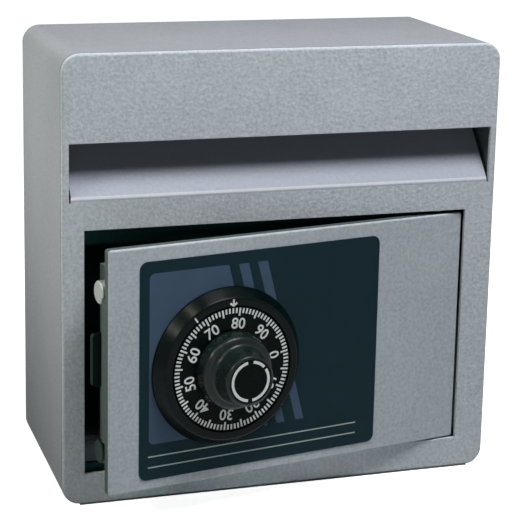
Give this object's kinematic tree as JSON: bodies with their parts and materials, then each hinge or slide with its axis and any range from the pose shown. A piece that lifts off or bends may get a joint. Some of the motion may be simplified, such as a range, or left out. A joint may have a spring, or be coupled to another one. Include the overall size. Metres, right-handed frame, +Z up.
{
  "type": "deposit safe",
  "caption": "Front-loading deposit safe with a full-width drop slot and bent flap over a small hinged door with a combination dial, sliding bolts and a wheel lock.",
  "frame": {"origin": "middle of the underside of the cabinet, halfway between its sides and between its front and back faces", "axes": "+Z up, -Y out of the front face, +X to the right as seen from the front; the door hinges at +X"},
  "size_m": [0.28, 0.1917, 0.28],
  "materials": {
    "cabinet_paint": "light grey, finely hammered, satin",
    "door_paint": "light grey, finely hammered, satin",
    "label_plate": "very dark green-blue with slanted muted blue bands, satin",
    "dial_black": "gloss black with white graduations",
    "bright_steel": "zinc-plated and turned",
    "brass": "machined",
    "lock_zinc": "die-cast, dull"
  },
  "bodies": {
    "cabinet": {"body_shell": "cabinet_paint", "front_plate": "cabinet_paint", "back_plate": "cabinet_paint", "fishing_baffle": "cabinet_paint", "baffle_strip": "cabinet_paint", "jamb_bar_left": "cabinet_paint", "jamb_bar_right": "cabinet_paint", "door_stop_top": "cabinet_paint", "door_stop_bottom": "cabinet_paint", "hinge_bracket_top": "cabinet_paint", "hinge_bracket_bottom": "cabinet_paint", "hinge_pin_top": "bright_steel", "hinge_pin_bottom": "bright_steel", "hinge_washer": "brass"},
    "door": {"door_plate": "door_paint", "door_label": "label_plate", "door_edge_bar": "door_paint", "bolt_guide": "door_paint", "hinge_lug_top": "door_paint", "hinge_lug_bottom": "door_paint", "dial_ring": "dial_black", "dial_ring_screws": "bright_steel", "spindle_tube": "brass", "hard_plate": "bright_steel", "lock_case": "lock_zinc", "lock_cover": "lock_zinc", "lock_screws": "bright_steel", "wheel_post": "brass", "wheel_spacers": "bright_steel"},
    "boltwork": {"bolt_bar": "bright_steel", "locking_bolt_top": "bright_steel", "locking_bolt_bottom": "bright_steel", "centre_bolt": "bright_steel", "lock_bolt": "brass", "bolt_bar_screws": "bright_steel", "lever_pin": "bright_steel"},
    "lever": {"lever": "brass"},
    "dial": {"dial": "dial_black", "dial_knob": "dial_black", "knob_cap": "dial_black", "spindle": "bright_steel", "drive_cam": "brass"},
    "wheel_1": {"wheel_1": "brass"},
    "wheel_2": {"wheel_2": "brass"},
    "wheel_3": {"wheel_3": "brass"}
  },
  "joints": [
    {"name": "door_hinge", "type": "hinge", "parent": "cabinet", "child": "door", "pos_m": [0.1055, -0.055, 0.0961], "axis": [0, 0, 1], "range_deg": [-10, 95]},
    {"name": "bolt_slide", "type": "slide", "parent": "door", "child": "boltwork", "axis": [-0.9848, -0.1736, 0], "range_m": [0, 0.009]},
    {"name": "lever_tilt", "type": "hinge", "parent": "boltwork", "child": "lever", "pos_m": [-0.07716, -0.08213, 0.1], "axis": [-0.1736, 0.9848, 0], "range_deg": [-6, 0]},
    {"name": "dial_turn", "type": "hinge", "parent": "door", "child": "dial", "pos_m": [-0.04501, -0.09169, 0.092], "axis": [0.1736, -0.9848, 0], "continuous": true},
    {"name": "wheel_1_turn", "type": "hinge", "parent": "door", "child": "wheel_1", "pos_m": [-0.04501, -0.09169, 0.092], "axis": [0.1736, -0.9848, 0], "continuous": true},
    {"name": "wheel_2_turn", "type": "hinge", "parent": "door", "child": "wheel_2", "pos_m": [-0.04501, -0.09169, 0.092], "axis": [0.1736, -0.9848, 0], "continuous": true},
    {"name": "wheel_3_turn", "type": "hinge", "parent": "door", "child": "wheel_3", "pos_m": [-0.04501, -0.09169, 0.092], "axis": [0.1736, -0.9848, 0], "continuous": true}
  ],
  "couplings": [
    {"joint": "wheel_1_turn", "follows": "dial_turn", "ratio": 1},
    {"joint": "wheel_2_turn", "follows": "dial_turn", "ratio": 1},
    {"joint": "wheel_3_turn", "follows": "dial_turn", "ratio": 1}
  ]
}
